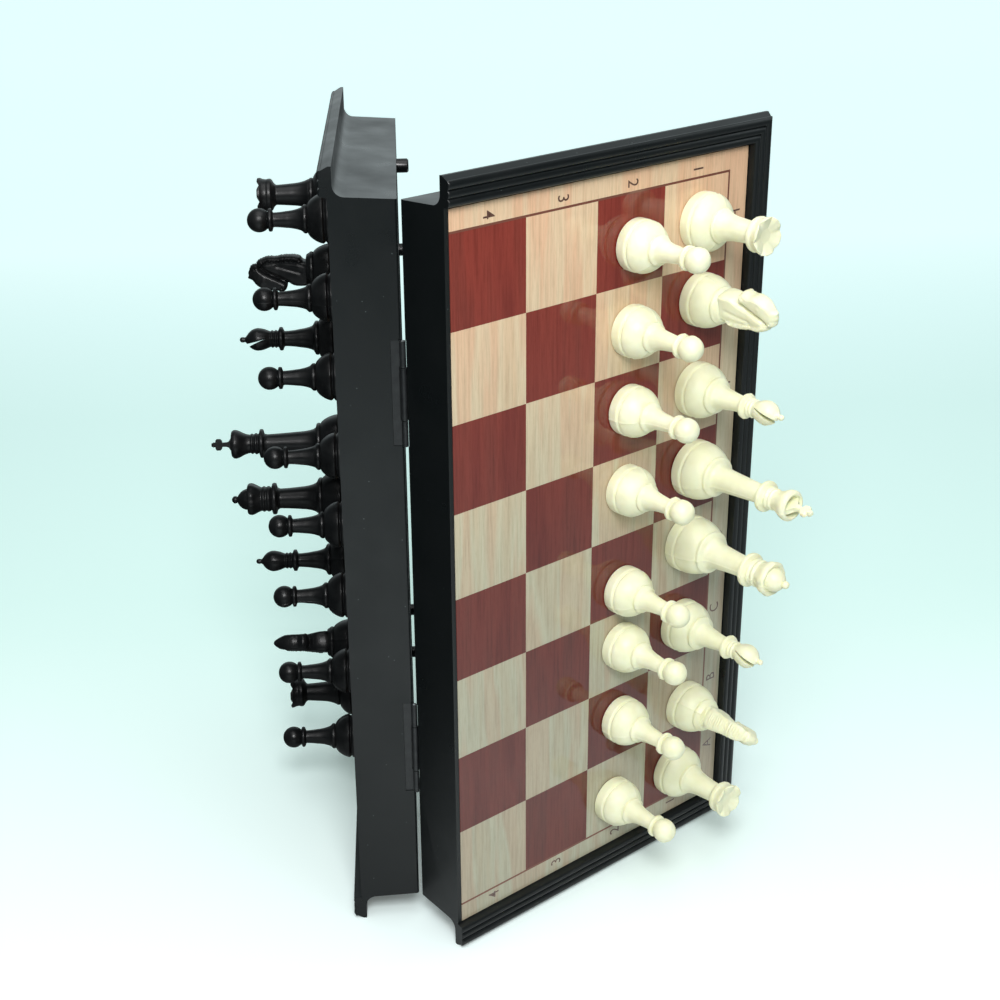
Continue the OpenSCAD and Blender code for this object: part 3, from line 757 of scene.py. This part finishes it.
def horse_edge():
    """The side view's edge as closely spaced points, with the mane's locks cut along the back"""
    points, locks = [], 0.0
    count = len(horse_outline)
    for i in range(count):
        before, start, end, after = (Vector(horse_outline[(i + k) % count]) for k in (-1, 0, 1, 2))
        steps = 1 if i == count - 1 else max(2, round((end - start).length / edge_spacing))
        for k in range(steps):
            # A curve through the corners, but straight beside the foot
            t = k / steps
            bent = 0.5 * (2 * start + (end - before) * t + (2 * before - 5 * start + 4 * end - after) * t * t
                          + (3 * start - before - 3 * end + after) * t ** 3)
            if i in (0, count - 2, count - 1):
                bent = start.lerp(end, t)
            if mane_start <= i < mane_end:
                locks += (end - start).length / steps
                along = (end - start).normalized()
                bent = bent + Vector((-along.y, along.x)) * -lock_depth * (1 - (locks / lock_length) % 1.0)
            points.append(bent)
    return points


def near_line(point, line):
    """Distance from a point to a line of points, and how far along it"""
    best, place, run = 99.0, 0.0, 0.0
    for start, end in zip(line, line[1:]):
        way = end - start
        t = max(0, min(1, (point - start).dot(way) / way.length_squared))
        gap = (point - start - way * t).length
        if gap < best:
            best, place = gap, run + t * way.length
        run += way.length
    return best, place


def level_at(table, height):
    """A value read from a table of (height, value)"""
    for (low, a), (high, b) in zip(table, table[1:]):
        if height <= high:
            return a + (b - a) * max(0, (height - low) / (high - low))
    return table[-1][1]


def inside_loop(spot, loop):
    """True if a point lies inside a closed edge"""
    inside = False
    for a, b in zip(loop, loop[1:] + loop[:1]):
        if (a.y > spot.y) != (b.y > spot.y) and spot.x < (b.x - a.x) * (spot.y - a.y) / (b.y - a.y) + a.x:
            inside = not inside
    return inside


def drawn(*places):
    """A line drawn on the side view"""
    return [Vector(place) for place in places]


# What is cut into the head or stands proud of it, and half its thickness by height
jaw = drawn((6.4, 23.0), (4.7, 25.4), (3.1, 28.4), (1.7, 31.4), (0.3, 34.2), (-1.2, 36.2))
crest = drawn((-0.2, 39.6), (-2.0, 36.6), (-3.2, 32.6), (-3.5, 28.2), (-3.6, 24), (-3.2, 20), (-2.4, 17))
neck_groove = drawn((0.6, 18.6), (-0.8, 23.6), (-2.2, 28.6))
mouth = drawn((9.8, 26.3), (8.4, 26.6), (7.2, 27.4))
brow = drawn((5.9, 35.8), (4.6, 35.6), (3.4, 34.6))
eye = Vector((4.6, 34.4))
nostril = Vector((8.5, 27.9))
back_of_neck = drawn(*horse_outline[mane_start:mane_end + 1])
half_thick = [(14.6, 4.9), (17, 4.9), (19, 4.75), (22, 4.35), (24, 4.1), (26, 3.85), (28, 3.55),
              (33, 3.5), (35, 3.35), (37, 3.1), (39, 2.5), (40, 1.9), (41.6, 1.3)]


def swell(distance, width):
    """1 on a line or a spot, and softly down to nothing over a width"""
    return math.exp(-(distance / width) ** 2)


def half_thickness(spot, inset):
    """Half the head's thickness at a spot of the side view that lies inset from the edge"""
    rounded = min(inset / edge_rounding, 1.0)
    thick = level_at(half_thick, spot.y) * math.sqrt(max(0, 1 - (1 - rounded) ** 2)) ** 0.9
    clear_of_edge = min(1, inset)
    thick -= 2.0 * swell(near_line(spot, jaw)[0], 1.0) * clear_of_edge
    thick -= 0.5 * swell(near_line(spot, mouth)[0], 0.35) * min(1, inset * 2)
    thick += 0.2 * swell(near_line(spot, brow)[0], 0.7)
    thick += 0.3 * swell((spot - eye).length, 0.75)
    thick -= 0.6 * swell((spot - nostril).length, 0.4) * clear_of_edge
    thick -= 0.4 * swell(near_line(spot, neck_groove)[0], 0.8) * clear_of_edge
    from_back, run = near_line(spot, back_of_neck)
    if from_back < mane_width and spot.x < 1.0:
        comb = (run / lock_length + from_back * 0.25) % 1.0
        thick += (0.42 * comb - 0.2) * min(1, inset / 1.2) * min(1, mane_width - from_back)
    thick -= 0.25 * swell(near_line(spot, crest)[0], 0.7) * clear_of_edge
    return max(thick, 0.05)


def horse_head():
    """The head as two mirrored sides that meet at the edge"""
    edge = horse_edge()
    count = len(edge)
    points = list(edge)
    # A grid of triangles over the whole side view, from its lower back corner
    grid_depth, grid_height = 18, 28
    back_corner, low_corner = -7.2, 14.7
    row_share = 0.866
    for row in range(int(grid_height / (inner_spacing * row_share))):
        for column in range(int(grid_depth / inner_spacing)):
            across = (column + 0.5 * (row % 2)) * inner_spacing + back_corner
            points.append(Vector((across, low_corner + row * inner_spacing * row_share)))
    border = [(i, (i + 1) % count) for i in range(count)]
    verts, _, faces, source, _, _ = delaunay_2d_cdt(points, border, [], 1, 1e-5)
    loop = edge + [edge[0]]
    sides = []
    for spot, origin in zip(verts, source):
        on_edge = any(k < count for k in origin)
        sides.append(0.0 if on_edge else half_thickness(spot, near_line(spot, loop)[0]))
    bm = bmesh.new()
    for sign in (1, -1):
        made = [bm.verts.new((MM * p.x, MM * sign * sides[v], MM * p.y)) for v, p in enumerate(verts)]
        for face in faces:
            centre = sum((verts[v] for v in face), Vector((0, 0))) / len(face)
            if inside_loop(centre, edge):
                bm.faces.new([made[v] for v in face])
    bmesh.ops.delete(bm, geom=[v for v in bm.verts if not v.link_faces], context="VERTS")
    bmesh.ops.remove_doubles(bm, verts=bm.verts, dist=0.00001)
    bmesh.ops.recalc_face_normals(bm, faces=bm.faces)
    return bm


def knight():
    """The turned foot, closed over, under the horse's head"""
    corners = foot(10.9, 7.5, 12.9) + [(6.6, 15.2), (6.2, 15.8), (4.5, 16.1), (0, 16.3)]
    return joined(turned(eased(corners, 0.2), ivory), horse_head())


# ------------------------------------------------------------------ The men in their places
# White's men are ivory plastic and black's are jet, each held to the board by its magnet, and none
# quite in the middle of its square or turned quite alike.
jet, tree, shader, here = finish_material("jet_plastic")
cloudy = noise(tree, here, 220, 3)
plug(tree, shader, {
    "Base Color": ramp(tree, cloudy, [(0.35, (0.004, 0.0045, 0.005)), (0.65, (0.007, 0.0075, 0.008))]),
    "Roughness": between(tree, cloudy, 0.3, 0.7, 0.28, 0.4),
    "Specular IOR Level": 0.3,
})

magnet_grey, tree, shader, here = finish_material("dark_magnet")
sintered = noise(tree, here, 1500, 2)
plug(tree, shader, {
    "Base Color": ramp(tree, sintered, [(0.3, (0.05, 0.05, 0.055)), (0.7, (0.10, 0.10, 0.11))]),
    "Roughness": 0.5,
    "Metallic": 0.6,
})

shapes = {"pawn": pawn, "rook": rook, "knight": knight, "bishop": bishop, "queen": queen, "king": king}
disc = [(0, magnet_low), (magnet_radius, magnet_low), (magnet_radius, magnet_top), (0, magnet_top)]
made_shapes = {}
for kind, build in shapes.items():
    figure = build()
    for face in figure.faces:
        face.material_index = 0
    magnet = turned(eased(disc, 0.2), magnet_grey, ridge=0)
    for face in magnet.faces:
        face.material_index = 1
    whole = joined(figure, magnet)
    mesh = bpy.data.meshes.new(kind)
    whole.to_mesh(mesh)
    whole.free()
    made_shapes[kind] = mesh

# For files a to h, each man's mm off the middle of its square, away from the hinge and up, and
# its turn in degrees. Row 3 is a side's first rank, and row 2 its pawns.
first_rank = ["rook", "knight", "bishop", "queen", "king", "bishop", "knight", "rook"]
standing = {
    ("white", 3): [(-0.6, -3.3, 40), (5, -6.8, 124), (0, 0.3, 210), (1.6, 3.7, 82),
                   (3.5, 2.1, 69), (2.6, 2.1, 204), (2.8, 4.7, -14), (2, 1.1, 20)],
    ("white", 2): [(-3, -2.9, 30), (0.1, 1.7, 75), (-0.7, 2.5, 50), (-0.3, -6.4, 65),
                   (-0.5, 3.7, 15), (0, 2.5, 80), (0.3, -0.2, 200), (1.8, -1.9, 35)],
    ("black", 3): [(0, 0.6, 15), (0, -7.1, -56), (0, 2.1, 115), (0, -1, 30),
                   (0, -8.5, 18), (0, 6, 200), (0, 2.3, 184), (0, 0.1, 20)],
    ("black", 2): [(0, -2.9, 10), (0, -3.1, 40), (0, 1, 70), (0, 0.9, 20),
                   (0, -1.5, 55), (0, -0.1, 5), (0, -0.4, 85), (0, -2.1, 45)],
}
stand_gap = 0.1
for (side, row), men in standing.items():
    for file, (away, up, degrees) in enumerate(men):
        kind = "pawn" if row == 2 else first_rank[file]
        name = f"{side}_{kind}" if kind in ("king", "queen") else f"{side}_{kind}_{'abcdefgh'[file]}"
        axis = out_of_board[side]
        turn = math.radians(degrees)
        forwards = Vector((0, 0, 1)) * math.cos(turn) + away_from_hinge[side] * math.sin(turn)
        sideways = axis.cross(forwards)
        place = Matrix.Identity(4)
        for r in range(3):
            place[r][0], place[r][1], place[r][2] = forwards[r], sideways[r], axis[r]
        from_hinge = print_start + (row + 0.5) * square + away
        from_foot = case_border + (file + 0.5) * square + up
        place.translation = on_half(side, board_top + stand_gap, from_hinge, from_foot)
        mesh = made_shapes[kind].copy()
        mesh.name = name + "_figure"
        mesh.transform(place)
        for polygon in mesh.polygons:
            polygon.use_smooth = True
        mesh.set_sharp_from_angle(angle=math.radians(38))
        mesh.materials.clear()
        mesh.materials.append(ivory if side == "white" else jet)
        mesh.materials.append(magnet_grey)
        figure = bpy.data.objects.new(name + "_figure", mesh)
        scene.collection.objects.link(figure)
        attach(figure, name)
        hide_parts(name)


# ------------------------------------------------------------------ Floor, light and camera
# The set stands on a plain table that runs out of sight behind it. The camera sees it pale all
# over. Reflections and bounced light see it nearly black to the left and dimmer to the right.
bm = bmesh.new()
bmesh.ops.create_grid(bm, x_segments=1, y_segments=1, size=9)
floor_mesh = bpy.data.meshes.new("table_top")
bm.to_mesh(floor_mesh)
bm.free()
table_top = bpy.data.objects.new("table_top", floor_mesh)
scene.collection.objects.link(table_top)
pale, tree, shader, here = finish_material("pale_table")
along = along_direction(tree, here, (-0.43, 0.9, 0))
shade = ramp(tree, between(tree, along, -0.3, 0.8, 0, 1), [
    (0.0, (0.93, 0.96, 0.96)), (0.5, (0.72, 0.93, 0.9)), (1.0, (0.70, 0.98, 0.97)),
])
across = add(tree, "ShaderNodeSeparateXYZ", {0: here}).outputs["X"]
bounced = ramp(tree, between(tree, across, -0.15, 1.05, 0, 1), [
    (0, (0.03, 0.035, 0.035)), (0.17, (0.75, 0.8, 0.8)), (0.24, (0.85, 0.92, 0.92)),
    (0.34, (0.6, 0.66, 0.66)), (0.5, (0.45, 0.5, 0.5)), (1, (0.35, 0.38, 0.38)),
])
glow = ramp(tree, between(tree, along, -0.1, 2.4, 0, 1), [
    (0.0, (0.13, 0.13, 0.13)), (0.12, (0.10, 0.15, 0.12)), (0.26, (0.18, 0.23, 0.20)),
    (0.46, (0.44, 0.49, 0.48)), (0.67, (0.48, 0.56, 0.55)), (1.0, (0.51, 0.62, 0.62)),
])
seen = add(tree, "ShaderNodeLightPath").outputs["Is Camera Ray"]
plug(tree, shader, {
    "Base Color": mix(tree, seen, bounced, shade),
    "Emission Color": mix(tree, seen, (0, 0, 0, 1), glow),
    "Emission Strength": 1,
    "Roughness": 0.55,
})
floor_mesh.materials.append(pale)


def lamp(name, place, aim, size, power):
    """A soft square lamp that looks at a point"""
    data = bpy.data.lights.new(name, "AREA")
    data.size = size
    data.energy = power
    made = bpy.data.objects.new(name, data)
    made.location = place
    made.rotation_euler = (Vector(aim) - Vector(place)).to_track_quat("-Z", "Y").to_euler()
    scene.collection.objects.link(made)


lamp("key", (0.28, -0.6, 0.74), (0.05, 0, 0.2), 0.3, 6.2)
lamp("overhead", (0.1, -0.15, 1.25), (0.02, 0, 0.1), 0.9, 5.5)

# The room: reflections see it brighten behind the set, and it lights all else evenly
world = bpy.data.worlds.new("studio")
world.use_nodes = True
tree = world.node_tree
heading = add(tree, "ShaderNodeTexCoord").outputs["Generated"]
backwards = add(tree, "ShaderNodeSeparateXYZ", {0: heading}).outputs["Y"]
mirrored = between(tree, backwards, 0.3, 0.85, 0.11, 0.85)
glossy = add(tree, "ShaderNodeLightPath").outputs["Is Glossy Ray"]
plug(tree, tree.nodes["Background"], {
    "Color": (0.86, 0.98, 1.0, 1),
    "Strength": between(tree, glossy, 0, 1, 0.4, mirrored),
})
scene.world = world
scene.view_settings.view_transform = "Standard"

# The camera, with its turn, tip and roll in radians
view = bpy.data.cameras.new("view")
view.sensor_width = 36
view.lens = 57.81
view.shift_x = 0.0703
view.shift_y = 0.0019
view.clip_end = 50
camera = bpy.data.objects.new("view", view)
turn, tip, roll = -0.4501, 0.4162, -0.0259
forward = Vector((math.sin(turn) * math.cos(tip), math.cos(turn) * math.cos(tip), -math.sin(tip)))
level = Vector((math.cos(turn), -math.sin(turn), 0))
over = level.cross(forward)
right = math.cos(roll) * level + math.sin(roll) * over
up = -math.sin(roll) * level + math.cos(roll) * over
pose = Matrix.Identity(4)
for row in range(3):
    pose[row][0], pose[row][1], pose[row][2] = right[row], up[row], -forward[row]
pose.translation = (0.24899, -0.49609 + hinge_y, 0.43848)
camera.matrix_world = pose
scene.collection.objects.link(camera)
scene.camera = camera
